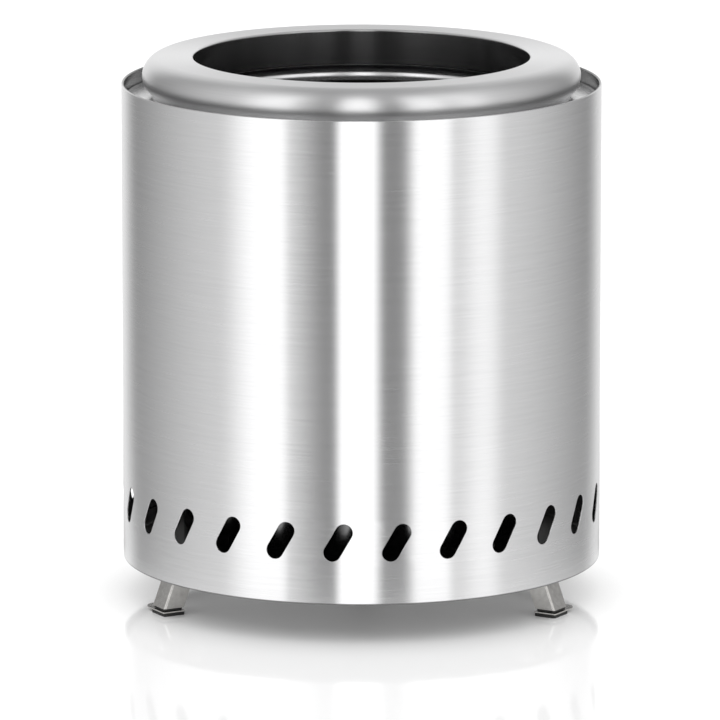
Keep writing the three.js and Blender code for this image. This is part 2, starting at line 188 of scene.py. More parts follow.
# Brushing: grains per metre across and along it, the clouds over it, how much each counts, and its relief
FINE_GRAIN = (1200, 30)
BROAD_GRAIN = (340, 6)
CLOUD_GRAIN = 9
FINE_SHARE = 0.5
BROAD_SHARE = 0.3
CLOUD_SHARE = 0.2
BRUSHING_BUMP = 0.25
BRUSHING_DEPTH = 0.00004
BRUSHING_TURN = 0.25
NOISE_DETAIL = 3

# Mottling of plain sheet and grain of rubber: patches per metre, how much each counts, and the relief
SMALL_PATCHES = 260
LARGE_PATCHES = 52
SMALL_PATCH_SHARE = 0.6
LARGE_PATCH_SHARE = 0.4
MOTTLE_BUMP = 0.3
RUBBER_GRAIN = 1040
RUBBER_BUMP = 0.4
PATCH_DEPTH = 0.0001

# Painted shade on dark faces: the radius or height under which a piece is painted darker as shade, and its
# colour and roughness shares there
# Painted shade: the shell's inner wall darker, and its foot edge darker as a painted reflection of the
# shaded floor under it
SHELL_PAINTED_SHADE = [("radius", 0.1992, 0.2, 0.8), ("height", 0.0334, 0.3, 1)]
# Painted shade: the ring's inner skirt darker, down in the dark opening
RING_PAINTED_SHADE = [("radius", 0.1402, 0.11, 0.5)]
# Painted shade: the drum darker below its mouth, inside the pit
DRUM_PAINTED_SHADE = [("height", 0.4105, 0.25, 0.6)]
PAINTED_SHADE_EASE = 0.0003

# Finishes: the darker and the lighter colour, the range of roughness, then for brushed steel how strongly
# it draws reflections out across the brushing, and its faces with painted shade
BRUSHED_STEELS = {
    "shell_steel": ((0.67, 0.67, 0.675), (0.89, 0.89, 0.895), (0.18, 0.33), 1, SHELL_PAINTED_SHADE),
    "ring_steel": ((0.66, 0.66, 0.665), (0.8, 0.8, 0.805), (0.3, 0.42), 0.85, RING_PAINTED_SHADE),
    "drum_steel": ((0.68, 0.68, 0.685), (0.84, 0.84, 0.845), (0.2, 0.3), 0.3, DRUM_PAINTED_SHADE),
    # Painted shade: a darker copy of the steel for the pieces deep inside the pit
    "inner_steel": ((0.26, 0.26, 0.26), (0.42, 0.42, 0.42), (0.16, 0.28), 0.3, []),
    "plain_steel": ((0.28, 0.28, 0.28), (0.42, 0.42, 0.42), (0.45, 0.6), 0.2, []),
}
MOTTLED_STEELS = {
    "leg_steel": ((0.36, 0.35, 0.335), (0.74, 0.73, 0.71), (0.15, 0.24)),
    "plated_steel": ((0.5, 0.5, 0.51), (0.72, 0.72, 0.73), (0.2, 0.34)),
}
BLACK_RUBBER = ((0.012, 0.012, 0.012), (0.035, 0.035, 0.034), (0.55, 0.8))

# Studio: a wall of light round the front and sides with a low sheet inside it, seen only in reflections
BODY_RADIUS = cad_high.x
TENT_RADIUS = 0.8
TENT_SHEET_START = 0.27
TENT_SHEET_HEIGHT = 0.001
TENT_HEIGHT = 1.6
TENT_REACH = math.radians(155)
TENT_COLUMNS = 96
TENT_BASE = 0.26
TENT_LOW_BASE = 0.38
TENT_LOW_REACH = 0.3
TENT_FOOT_SHARE = 0.86
TENT_FOOT_HEIGHT = 0.5
# Each light rises from the first direction to the second, stays full to the third and is gone at the
# fourth, in degrees from the front towards the right, and adds the brightness given last
TENT_LIGHTS = {
    "key": (-12, -8, 4, 10, 1.4),
    "left_fill": (-143, -50, -33, -13, 0.58),
    "left_bank": (-65, -45, -34, -30, 0.62),
    "right_fill": (16, 25, 44, 145, 0.64),
    "right_bank": (41, 54, 56, 66, 0.4),
    "right_key": (18, 24, 36, 40, 0.55),
    "left_back": (-180, -152, -148, -122, 0.66),
    "right_back": (122, 148, 152, 180, 0.6),
}
SKY_LEVEL = 0.4
SKY_START = 0.35
SKY_END = 0.85
WORLD_LEVEL = 0.95
FLOOR_HALF = 30
FLOOR_COLOUR = (0.88, 0.88, 0.88, 1)
FLOOR_LIFT = 0.33
FLOOR_SHADE_REACH = 0.07
FLOOR_SHADE_SAMPLES = 8
FLOOR_ROUGHNESS = 0.08


# Camera
def add_camera():
    camera = bpy.data.objects.new("camera", bpy.data.cameras.new("camera"))
    scene.collection.objects.link(camera)
    camera.location = (CAMERA_SIDE, -CAMERA_DISTANCE, CAMERA_HEIGHT)
    camera.rotation_euler = (math.pi / 2 - CAMERA_PITCH, 0, 0)
    camera.data.lens = CAMERA_LENS
    camera.data.clip_start, camera.data.clip_end = CAMERA_CLIP
    scene.camera = camera


# Sections and outlines
def rounded_path(corners, closed=False, steps=None):
    """Points through corners given as (x, y, bend), with each bend as an arc."""
    count = len(corners)
    points = []
    for i, (x, y, bend) in enumerate(corners):
        here = Vector((x, y))
        if bend == 0 or (not closed and i in (0, count - 1)):
            points.append(here)
            continue
        into = (Vector(corners[i - 1][:2]) - here).normalized()
        out = (Vector(corners[(i + 1) % count][:2]) - here).normalized()
        half = into.angle(out) / 2
        centre = here + (into + out).normalized() * bend / math.sin(half)
        first = here + into * bend / math.tan(half) - centre
        last = here + out * bend / math.tan(half) - centre
        turn = math.atan2(first.x * last.y - first.y * last.x, first.dot(last))
        pieces = steps or max(EASE_STEPS, round(abs(turn) / BEND_STEP))
        for k in range(pieces + 1):
            cosine, sine = math.cos(turn * k / pieces), math.sin(turn * k / pieces)
            spun = (first.x * cosine - first.y * sine, first.x * sine + first.y * cosine)
            points.append(centre + Vector(spun))
    return [p for i, p in enumerate(points) if (p - points[i - 1]).length > WELD or len(points) == 1]


def offset_left(points, distance):
    """The same open path, moved sideways to its left."""
    moved = []
    for i, point in enumerate(points):
        before = points[max(i - 1, 0)]
        after = points[min(i + 1, len(points) - 1)]
        into = (point - before).normalized() if i else (after - point).normalized()
        out = (after - point).normalized() if i < len(points) - 1 else into
        left = Vector((-into.y - out.y, into.x + out.x)).normalized()
        spread = left.dot(Vector((-into.y, into.x)))
        moved.append(point + left * distance / spread)
    return moved


def sheet_section(corners, sheet, from_axis=False):
    """An outline of bent sheet. The corners are one face, with the metal on its left. Cut ends are eased."""
    face = rounded_path(corners)
    back = offset_left(face, sheet)
    loop = [(p.x, p.y, 0) for p in face] + [(p.x, p.y, 0) for p in reversed(back)]
    ends = (len(face) - 1, len(face)) if from_axis else (0, len(face) - 1, len(face), len(loop) - 1)
    for i in ends:
        loop[i] = (*loop[i][:2], CUT_EDGE)
    return rounded_path(loop, closed=not from_axis, steps=EASE_STEPS)


def stadium(length, width):
    """A flat outline with two straight sides and round ends, long in x."""
    reach, radius = (length - width) / 2, width / 2
    points = []
    for x, start in ((reach, -math.pi / 2), (-reach, math.pi / 2)):
        for k in range(ROUND_END_STEPS + 1):
            a = start + math.pi * k / ROUND_END_STEPS
            points.append(Vector((x + radius * math.cos(a), radius * math.sin(a))))
    return points


def circle_points(radius, steps, x=0.0, y=0.0):
    turns = [2 * math.pi * i / steps for i in range(steps)]
    return [(x + radius * math.cos(a), y + radius * math.sin(a)) for a in turns]


def around(radius, angle, height):
    """A point at an angle from the front, counted towards the right."""
    return radius * math.sin(angle), -radius * math.cos(angle), height


# Meshes
def hex_radius(flat, angle):
    """Radius at an angle of a hexagon whose flats are that far from its middle."""
    side = 2 * math.pi / HEX_SIDES
    return flat / math.cos((angle + side / 2) % side - side / 2)


def turn_profile(bm, profile, columns, closed, skipped, phase):
    """Adds a profile of (radius, height) or (flat, height, "hex") turned about the axis."""
    rings = []
    for radius, height, *form in profile:
        if radius < WELD:
            rings.append([bm.verts.new((0, 0, height))])
            continue
        ring = []
        for i in range(columns):
            a = phase + 2 * math.pi * i / columns
            reach = hex_radius(radius, a) if form else radius
            ring.append(bm.verts.new(around(reach, a, height)))
        rings.append(ring)
    last = len(rings) if closed else len(rings) - 1
    for i in range(last):
        j = (i + 1) % len(rings)
        if is_band(profile[i], profile[j], skipped):
            continue
        for c in range(columns):
            d = (c + 1) % columns
            low, high = rings[i], rings[j]
            corners = [low[c % len(low)], low[d % len(low)], high[d % len(high)], high[c % len(high)]]
            corners = list(dict.fromkeys(corners))
            if len(corners) > 2:
                bm.faces.new(corners)


def is_band(start, end, bands):
    """True where a stretch of wall is one of the bands that holds holes."""
    low, high = sorted((start[1], end[1]))
    return any(abs(low - b["low"]) < WELD and abs(high - b["high"]) < WELD for b in bands)


def hole_reach(direction, straight, radius):
    """Distance from a hole's middle to its edge; the hole is long in y by twice the straight half."""
    x, y = abs(direction.x), abs(direction.y)
    if x > WELD and radius * y / x <= straight:
        return radius / x
    along = y * straight
    return along + math.sqrt(max(along * along - straight * straight + radius * radius, 0))


def hole_band(middle, half, count, radius, rows, straight=0, slant=0, first=0):
    """A band of wall with holes: half is its half height, first the angle of its first hole."""
    return {
        "low": middle - half, "high": middle + half, "middle": middle, "count": count, "first": first,
        "straight": straight, "radius": radius, "slant": slant, "rows": rows,
    }


def cell_outline(half_width, half_height, columns, rows):
    """Points round a cell's border, anticlockwise from its lower left corner."""
    low = [Vector((-half_width + 2 * half_width * i / columns, -half_height)) for i in range(columns)]
    right = [Vector((half_width, -half_height + 2 * half_height * i / rows)) for i in range(rows)]
    return low + right + [-p for p in low] + [-p for p in right]


def add_hole_cells(bm, band, outer, inner, columns):
    """Fills a band of wall with cells, each with one hole through both faces and eased edges."""
    per_cell = columns // band["count"]
    half_width = math.pi / band["count"] * outer
    border = cell_outline(half_width, (band["high"] - band["low"]) / 2, per_cell, band["rows"])
    turn = Matrix.Rotation(-band["slant"], 2)
    back = turn.transposed()
    skins = []
    for p in border:
        direction = (back @ p).normalized()
        edge = turn @ (direction * hole_reach(direction, band["straight"], band["radius"]))
        eased = edge + edge.normalized() * CUT_EDGE
        steps = [eased + (p - eased) * (k / HOLE_RINGS) ** HOLE_RING_EASE for k in range(HOLE_RINGS + 1)]
        skins.append((
            [(s, outer) for s in reversed(steps)]
            + [(edge, outer - CUT_EDGE), (edge, inner + CUT_EDGE)]
            + [(s, inner) for s in steps]
        ))
    for i in range(band["count"]):
        middle = band["first"] + 2 * math.pi * i / band["count"]
        strips = []
        for skin in skins:
            strip = []
            for place, radius in skin:
                corner = around(radius, middle + place.x / outer, band["middle"] + place.y)
                strip.append(bm.verts.new(corner))
            strips.append(strip)
        for here, there in zip(strips, strips[1:] + strips[:1]):
            for k in range(len(here) - 1):
                bm.faces.new((here[k], there[k], there[k + 1], here[k + 1]))


def weighted(mesh):
    """The mesh with normals weighted by face area, so that flats stay flat next to bends."""
    holder = bpy.data.objects.new(mesh.name, mesh)
    scene.collection.objects.link(holder)
    normals = holder.modifiers.new("normals", "WEIGHTED_NORMAL")
    normals.keep_sharp = True
    graph = bpy.context.evaluated_depsgraph_get()
    result = bpy.data.meshes.new_from_object(holder.evaluated_get(graph))
    bpy.data.objects.remove(holder)
    bpy.data.meshes.remove(mesh)
    return result


def smooth_mesh(bm, name):
    """A mesh shaded smooth, but for its sharp edges."""
    mesh = bpy.data.meshes.new(name)
    bm.to_mesh(mesh)
    bm.free()
    mesh.shade_smooth()
    mesh.set_sharp_from_angle(angle=SHARP_ANGLE)
    return weighted(mesh)


def finish_mesh(bm, name):
    bmesh.ops.remove_doubles(bm, verts=bm.verts, dist=WELD)
    bmesh.ops.recalc_face_normals(bm, faces=bm.faces)
    return smooth_mesh(bm, name)


def turned(name, profile, columns=ROUND_COLUMNS, closed=True, bands=(), walls=None):
    """A turned mesh. Bands of holes lie in the wall between the two radii of walls."""
    bm = bmesh.new()
    phase = bands[0]["first"] - math.pi / bands[0]["count"] if bands else 0
    turn_profile(bm, [tuple(p) for p in profile], columns, closed, bands, phase)
    for band in bands:
        add_hole_cells(bm, band, *walls, columns)
    return finish_mesh(bm, name)


def prism(name, outline, low, high, lean=0.0):
    """An upright prism on a flat outline. It leans towards +Y by lean metres per metre of height."""
    bm = bmesh.new()
    rings = [[bm.verts.new((p.x, p.y + lean * (z - low), z)) for p in outline] for z in (low, high)]
    bm.faces.new(rings[0])
    bm.faces.new(rings[1])
    for i in range(len(outline)):
        j = (i + 1) % len(outline)
        bm.faces.new((rings[0][i], rings[0][j], rings[1][j], rings[1][i]))
    bmesh.ops.remove_doubles(bm, verts=bm.verts, dist=WELD)
    bmesh.ops.recalc_face_normals(bm, faces=bm.faces)
    sharp = [e for e in bm.edges if len(e.link_faces) == 2 and e.calc_face_angle() > SHARP_ANGLE]
    bmesh.ops.bevel(
        bm, geom=sharp, offset=SHEET_EDGE, segments=EDGE_SEGMENTS, profile=EDGE_ROUNDNESS,
        affect="EDGES", clamp_overlap=True,
    )
    return finish_mesh(bm, name)


def merged(name, meshes):
    """One mesh made of several, which are left as they lie."""
    bm = bmesh.new()
    for mesh in meshes:
        bm.from_mesh(mesh)
        bpy.data.meshes.remove(mesh)
    return smooth_mesh(bm, name)


def drilled_plate(name, outline, holes, low, high, edge):
    """A flat plate with holes, from a filled outline with eased edges."""
    curve = bpy.data.curves.new(name, "CURVE")
    curve.dimensions = "2D"
    curve.fill_mode = "BOTH"
    curve.extrude = (high - low) / 2 - edge
    curve.bevel_depth = edge
    curve.bevel_resolution = PLATE_EDGE_STEPS
    curve.offset = -edge
    for points in (outline, *holes):
        spline = curve.splines.new("POLY")
        spline.points.add(len(points) - 1)
        spline.use_cyclic_u = True
        for point, place in zip(spline.points, points):
            point.co = (*place, 0, 1)
    shape = bpy.data.objects.new(name, curve)
    scene.collection.objects.link(shape)
    graph = bpy.context.evaluated_depsgraph_get()
    mesh = bpy.data.meshes.new_from_object(shape.evaluated_get(graph))
    bpy.data.objects.remove(shape)
    bpy.data.curves.remove(curve)
    mesh.transform(Matrix.Translation((0, 0, (low + high) / 2)))
    bm = bmesh.new()
    bm.from_mesh(mesh)
    bpy.data.meshes.remove(mesh)
    return finish_mesh(bm, name)


def add_piece(node, mesh, body, material):
    """A finished piece that stands for one CAD node."""
    piece = bpy.data.objects.new(f"finished_{node}", mesh)
    scene.collection.objects.link(piece)
    mesh.materials.append(material)
    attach(piece, body)
    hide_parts(node)


# Nodes
def new_node(tree, kind, inputs=None, **settings):
    node = tree.nodes.new(kind)
    for key, value in settings.items():
        setattr(node, key, value)
    for key, value in (inputs or {}).items():
        if isinstance(value, bpy.types.NodeSocket):
            tree.links.new(value, node.inputs[key])
        else:
            node.inputs[key].default_value = value
    return node


def calculated(tree, operation, *values):
    return new_node(tree, "ShaderNodeMath", dict(enumerate(values)), operation=operation).outputs[0]


def ranged(tree, value, span, goal=(0, 1), **settings):
    """A value carried over from one span to another, and held at its ends."""
    inputs = {
        "Value": value, "From Min": span[0], "From Max": span[1], "To Min": goal[0], "To Max": goal[1],
    }
    return new_node(tree, "ShaderNodeMapRange", inputs, **settings).outputs["Result"]


def place_parts(tree):
    """X, y and z in the part's own frame, in metres."""
    place = new_node(tree, "ShaderNodeTexCoord").outputs["Object"]
    split = new_node(tree, "ShaderNodeSeparateXYZ", {"Vector": place})
    return split.outputs["X"], split.outputs["Y"], split.outputs["Z"]


def radius_of(tree, x, y):
    square = calculated(tree, "MULTIPLY", y, y)
    return calculated(tree, "SQRT", calculated(tree, "MULTIPLY_ADD", x, x, square))


def noise(tree, vector):
    inputs = {"Vector": vector, "Scale": 1, "Detail": NOISE_DETAIL}
    return new_node(tree, "ShaderNodeTexNoise", inputs).outputs["Fac"]


def brushed_grain(tree, across, along):
    """Fine lines round the axis: horizontal on a wall, concentric on a flat top."""
    x, y, z = place_parts(tree)
    depth = calculated(tree, "SUBTRACT", radius_of(tree, x, y), z)
    parts = {
        "X": calculated(tree, "MULTIPLY", x, along),
        "Y": calculated(tree, "MULTIPLY", y, along),
        "Z": calculated(tree, "MULTIPLY", depth, across),
    }
    return noise(tree, new_node(tree, "ShaderNodeCombineXYZ", parts).outputs[0])


def clouds(tree, grain):
    """Soft patches, alike in every direction."""
    place = new_node(tree, "ShaderNodeTexCoord").outputs["Object"]
    mapped = new_node(tree, "ShaderNodeMapping", {"Vector": place, "Scale": (grain, grain, grain)})
    return noise(tree, mapped.outputs["Vector"])


def new_material(name):
    material = bpy.data.materials.new(name)
    material.use_nodes = True
    return material, material.node_tree, material.node_tree.nodes["Principled BSDF"]


def mixed_colour(tree, grain, dark, light):
    mix = new_node(tree, "ShaderNodeMix", {"Factor": grain}, data_type="RGBA")
    colours = {"A": dark, "B": light}
    for socket in mix.inputs:
        if socket.type == "RGBA":
            socket.default_value = (*colours[socket.name], 1)
    return next(socket for socket in mix.outputs if socket.type == "RGBA")


def finish_surface(tree, shader, grain, dark, light, roughness, bump, depth):
    """Sets colour, roughness and relief from one grain that runs from 0 to 1."""
    tree.links.new(mixed_colour(tree, grain, dark, light), shader.inputs["Base Color"])
    tree.links.new(ranged(tree, grain, (0, 1), roughness), shader.inputs["Roughness"])
    relief = new_node(tree, "ShaderNodeBump", {"Height": grain, "Strength": bump, "Distance": depth})
    tree.links.new(relief.outputs["Normal"], shader.inputs["Normal"])


def paint_shade(tree, shader, measure, limit, shaded_colour_share, roughness_share):
    """Paints shade on steel: makes it darker, and smoother or rougher, where its radius or its height is
    under a limit.
    """
    x, y, z = place_parts(tree)
    place = radius_of(tree, x, y) if measure == "radius" else z
    for name, share in (("Base Color", shaded_colour_share), ("Roughness", roughness_share)):
        plain = shader.inputs[name].links[0].from_socket
        factor = ranged(tree, place, (limit - PAINTED_SHADE_EASE, limit + PAINTED_SHADE_EASE), (share, 1))
        scaled = new_node(tree, "ShaderNodeVectorMath", {0: plain, "Scale": factor}, operation="SCALE")
        tree.links.new(scaled.outputs[0], shader.inputs[name])


def brushed_steel(name, dark, light, roughness, anisotropy, painted_shade_faces):
    """Steel brushed round the axis, with painted shade on the faces that are given as shaded."""
    material, tree, shader = new_material(name)
    fine = brushed_grain(tree, *FINE_GRAIN)
    broad = calculated(tree, "MULTIPLY", brushed_grain(tree, *BROAD_GRAIN), BROAD_SHARE)
    lines = calculated(tree, "MULTIPLY_ADD", fine, FINE_SHARE, broad)
    grain = calculated(tree, "MULTIPLY_ADD", clouds(tree, CLOUD_GRAIN), CLOUD_SHARE, lines)
    finish_surface(tree, shader, grain, dark, light, roughness, BRUSHING_BUMP, BRUSHING_DEPTH)
    shader.inputs["Metallic"].default_value = 1
    shader.inputs["Anisotropic"].default_value = anisotropy
    shader.inputs["Anisotropic Rotation"].default_value = BRUSHING_TURN
    tangent = new_node(tree, "ShaderNodeTangent", direction_type="RADIAL", axis="Z")
    tree.links.new(tangent.outputs["Tangent"], shader.inputs["Tangent"])
    # Painted shade on each face that is given as shaded
    for face in painted_shade_faces:
        paint_shade(tree, shader, *face)
    return material


def mottled_steel(name, dark, light, roughness):
    """Mill-finished sheet or plated steel, with small soft patches."""
    material, tree, shader = new_material(name)
    large = calculated(tree, "MULTIPLY", clouds(tree, LARGE_PATCHES), LARGE_PATCH_SHARE)
    grain = calculated(tree, "MULTIPLY_ADD", clouds(tree, SMALL_PATCHES), SMALL_PATCH_SHARE, large)
    finish_surface(tree, shader, grain, dark, light, roughness, MOTTLE_BUMP, PATCH_DEPTH)
    shader.inputs["Metallic"].default_value = 1
    return material


def black_rubber():
    material, tree, shader = new_material("black_rubber")
    finish_surface(tree, shader, clouds(tree, RUBBER_GRAIN), *BLACK_RUBBER, RUBBER_BUMP, PATCH_DEPTH)
    return material


def all_materials():
    brushed = {name: brushed_steel(name, *finish) for name, finish in BRUSHED_STEELS.items()}
    mottled = {name: mottled_steel(name, *finish) for name, finish in MOTTLED_STEELS.items()}
    return {**brushed, **mottled, "black_rubber": black_rubber()}


# Pieces
def shell_mesh():
    """A sheet cylinder hemmed inwards at both ends, with a band of slanted slots."""
    low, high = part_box("outer_shell")
    outer, bottom, top = high.x, low.z, high.z
    inner = outer - SHELL_SHEET
    hem = inner - SHELL_SHEET
    straight = (SLOT_LENGTH - SLOT_WIDTH) / 2
    band = hole_band(
        bottom + SLOT_HEIGHT, SLOT_CELL_HALF, SLOT_COUNT, SLOT_WIDTH / 2, SLOT_ROWS,
        straight, SLOT_SLANT, FIRST_SLOT,
    )
    profile = rounded_path([
        (outer, bottom, SHELL_SHEET), (outer, band["low"], 0), (outer, band["high"], 0),
        (outer, top, SHELL_SHEET), (hem, top, SHELL_SHEET), (hem, top - RIM_HEM, CUT_EDGE),
        (inner, top - RIM_HEM, 0), (inner, band["high"], 0), (inner, band["low"], 0),
        (inner, bottom + FOOT_HEM, 0), (hem, bottom + FOOT_HEM, CUT_EDGE), (hem, bottom, SHELL_SHEET),
    ], closed=True)
    return turned("outer_shell", profile, WALL_COLUMNS, bands=[band], walls=(outer, inner))


def ring_mesh():
    """A section from the foot, round the rolled edge, over the top and down to the folded inner skirt."""
    low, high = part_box("flame_ring")
    outer, foot, top = high.x, low.z, high.z
    roll_middle = outer - RING_ROLL
    roll_corner = roll_middle + RING_ROLL / math.tan((math.pi / 2 - RING_UNDER_TURN) / 2)
    under_radius = roll_middle + RING_ROLL * math.cos(RING_UNDER_TURN)
    under_height = top - RING_ROLL - RING_ROLL * math.sin(RING_UNDER_TURN)
    foot_top = foot + RING_FOOT_RISE
    foot_radius = under_radius - (under_height - foot_top) * math.tan(RING_UNDER_TURN)
    fold = RING_SHEET + FOLD_GAP / 2
    skirt_low = top - RING_SKIRT
    corners = [
        (foot_radius, foot, 0),
        (foot_radius, foot_top, RING_FOOT_BEND),
        (roll_corner, top, RING_ROLL),
        (RING_OPENING, top, RING_LIP_ROUND),
        (RING_OPENING, skirt_low, fold),
        (RING_OPENING + 2 * fold, skirt_low, fold),
        (RING_OPENING + 2 * fold, skirt_low + RING_HEM, 0),
    ]
    return turned("flame_ring", sheet_section(corners, RING_SHEET))


def drum_mesh():
    """The inner drum: a flange over its rounded mouth, two rows of air holes and a foot turned inwards."""
    low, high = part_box("burn_chamber")
    lip, foot, top = high.x, low.z, high.z
    foot_top = foot + DRUM_SHEET
    high_band = hole_band(top - HIGH_HOLE_DROP, HIGH_CELL_HALF, HIGH_HOLES, HIGH_HOLE_RADIUS, DRUM_HOLE_ROWS)
    low_band = hole_band(foot + LOW_HOLE_HEIGHT, LOW_CELL_HALF, LOW_HOLES, LOW_HOLE_RADIUS, DRUM_HOLE_ROWS)
    corners = [
        (lip, top - FLANGE_LIP, 0), (lip, top, FLANGE_ROUND), (DRUM_BORE, top, MOUTH_ROUND),
        (DRUM_BORE, high_band["high"], 0), (DRUM_BORE, high_band["low"], 0),
        (DRUM_BORE, low_band["high"], 0), (DRUM_BORE, low_band["low"], 0),
        (DRUM_BORE, foot_top, FLANGE_ROUND), (DRUM_BORE - DRUM_FOOT, foot_top, 0),
    ]
    walls = (DRUM_BORE + DRUM_SHEET, DRUM_BORE)
    section = sheet_section(corners, DRUM_SHEET)
    return turned("burn_chamber", section, DRUM_COLUMNS, bands=[high_band, low_band], walls=walls)


def base_mesh():
    low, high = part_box("base_plate")
    corners = [(0, low.z, 0), (high.x, low.z, BASE_BEND), (high.x, high.z, 0)]
    return turned("base_plate", sheet_section(corners, BASE_SHEET, from_axis=True), closed=False)


def support_mesh():
    low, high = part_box("grate_support_ring")
    corners = [(high.x, low.z, 0), (high.x, high.z, SUPPORT_BEND), (SUPPORT_OPENING, high.z, 0)]
    return turned("grate_support_ring", sheet_section(corners, SUPPORT_SHEET))


def grate_mesh():
    """A round plate with a hole in its middle and rings of holes, every other ring turned by half a step."""
    low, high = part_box("fire_grate")
    spacing = (high.x - GRATE_RIM) / GRATE_RINGS
    holes = [circle_points(GRATE_HOLE_RADIUS, SMALL_COLUMNS)]
    for ring in range(1, GRATE_RINGS + 1):
        count = ring * GRATE_HOLES_PER_RING
        for i in range(count):
            a = (i + ring % 2 / 2) * 2 * math.pi / count
            x, y = ring * spacing * math.cos(a), ring * spacing * math.sin(a)
            holes.append(circle_points(GRATE_HOLE_RADIUS, SMALL_COLUMNS, x, y))
    outline = circle_points(high.x, ROUND_COLUMNS)
    return drilled_plate("fire_grate", outline, holes, low.z, high.z, GRATE_EDGE)


def pan_mesh():
    """A round tray on a pressed foot, with a brim."""
    low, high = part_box("ash_pan")
    outer, bottom, brim = high.x, low.z, high.z - PAN_SHEET
    floor = bottom + PAN_FOOT_DEPTH
    foot_outer = outer - PAN_LIP - PAN_DRAFT
    foot_inner = foot_outer - PAN_FOOT_WIDTH
    corners = [
        (0, floor, 0), (foot_inner - PAN_FOOT_DEPTH, floor, PAN_BEND), (foot_inner, bottom, PAN_BEND),
        (foot_outer, bottom, PAN_BEND), (outer - PAN_LIP, brim, PAN_BEND), (outer, brim, 0),
    ]
    return turned("ash_pan", sheet_section(corners, PAN_SHEET, from_axis=True), closed=False)


def handle_mesh():
    """A bent strap, drawn as a flat section and then stood up."""
    low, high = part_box("ash_pan_handle")
    end, rise = high.x, high.z - low.z - STRAP_SHEET
    knee = end - STRAP_FOOT
    corners = [
        (-end, 0, 0), (-knee, 0, STRAP_FOOT_BEND), (-knee, rise, STRAP_BEND),
        (knee, rise, STRAP_BEND), (knee, 0, STRAP_FOOT_BEND), (end, 0, 0),
    ]
    mesh = prism("ash_pan_handle", sheet_section(corners, STRAP_SHEET), low.y, high.y)
    mesh.transform(Matrix.Rotation(math.pi / 2, 4, "X"))
    mesh.transform(Matrix.Translation((0, 0, low.z)))
    return mesh


def foot_outline(growth, round_off):
    """The outline of a leg at the floor, made wider and deeper by the growth."""
    half, deep = (LEG_WIDTH + growth) / 2, (LEG_DEPTH + growth) / 2
    signs = ((-1, -1), (1, -1), (1, 1), (-1, 1))
    corners = [(x * half, y * deep - LEG_MIDDLE, round_off) for x, y in signs]
    return rounded_path(corners, closed=True)


def channel_mesh():
    """A splayed channel with its web outwards, closed at the foot and with a round-ended plate on top."""
    low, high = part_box("leg_rear")
    lean = math.tan(LEG_SPLAY)
    half = LEG_WIDTH / 2
    corners = [(-half, LEG_DEPTH, 0), (-half, 0, LEG_BEND), (half, 0, LEG_BEND), (half, LEG_DEPTH, 0)]
    section = [p - Vector((0, LEG_REACH)) for p in sheet_section(corners, LEG_SHEET)]
    channel = prism("channel", section, low.z, high.z - LEG_SHEET / 2, lean)
    tab = prism("tab", foot_outline(-LEG_SHEET, 0), low.z, low.z + LEG_SHEET, lean)
    ear_bottom = high.z - LEG_SHEET
    ear_middle = LEG_MIDDLE - (ear_bottom - low.z) * lean
    ear_outline = [p - Vector((0, ear_middle)) for p in stadium(EAR_LENGTH, EAR_WIDTH)]
    ears = prism("ears", ear_outline, ear_bottom, high.z)
    return merged("leg", [channel, tab, ears])


def pad_mesh():
    """A block under the foot plate and a black cap above it, joined by a neck. The cap's black is painted
    shade in the gap under the leg.
    """
    low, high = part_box("foot_pad_rear")
    block_top, shade_cap_bottom = low.z + PAD_BLOCK_HEIGHT, high.z - PAD_SHADE_CAP_HEIGHT
    sink = [(x, y - LEG_MIDDLE) for x, y in circle_points(PAD_SINK, SMALL_COLUMNS)]
    block_shape = foot_outline(2 * PAD_OVERHANG, PAD_ROUND)
    block = drilled_plate("block", block_shape, [sink], low.z, block_top, SHEET_EDGE)
    # The black cap stands in for the shaded gap between the foot plate and the leg: painted shade
    shade_cap = prism("shade_cap", foot_outline(-2 * PAD_INSET, PAD_ROUND), shade_cap_bottom, high.z)
    neck_outline = [Vector((x, y - LEG_MIDDLE)) for x, y in circle_points(PAD_NECK, SMALL_COLUMNS)]
    neck_low, neck_high = low.z + PAD_BLOCK_HEIGHT / 2, high.z - PAD_SHADE_CAP_HEIGHT / 2
    neck = prism("neck", neck_outline, neck_low, neck_high)
    return merged("foot_pad", [block, shade_cap, neck])


def plate_mesh(side):
    """A thin plate, square at one end, with a round-ended tab at the other, on the side given as 1 or -1."""
    low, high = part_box("foot_plate_rear")
    deep = PLATE_WIDTH / 2
    end = -LEG_WIDTH / 2 - PAD_OVERHANG
    corners = [
        (PLATE_TAB_REACH, -deep, deep - WELD), (PLATE_TAB_REACH, deep, deep - WELD),
        (end, deep, PLATE_CORNER), (end, -deep, PLATE_CORNER),
    ]
    outline = [(side * p.x, side * p.y - LEG_MIDDLE) for p in rounded_path(corners, closed=True)]
    neck = [(x, y - LEG_MIDDLE) for x, y in circle_points(PAD_NECK + FOLD_GAP, SMALL_COLUMNS)]
    return drilled_plate("foot_plate", outline, [neck], low.z, high.z, SHEET_EDGE)


def at_centre_of(node, mesh):
    """The mesh moved from the origin to the middle of a node, at its own height."""
    low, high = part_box(node)
    mesh.transform(Matrix.Translation(((low.x + high.x) / 2, (low.y + high.y) / 2, 0)))
    return mesh


def dome(radius, seat, rise):
    """Points of a low dome from its rim up, or down, to the axis."""
    quarter = [math.pi / 2 * k / DOME_STEPS for k in range(DOME_STEPS + 1)]
    return [(radius * math.cos(a), seat + rise * math.sin(a)) for a in quarter]


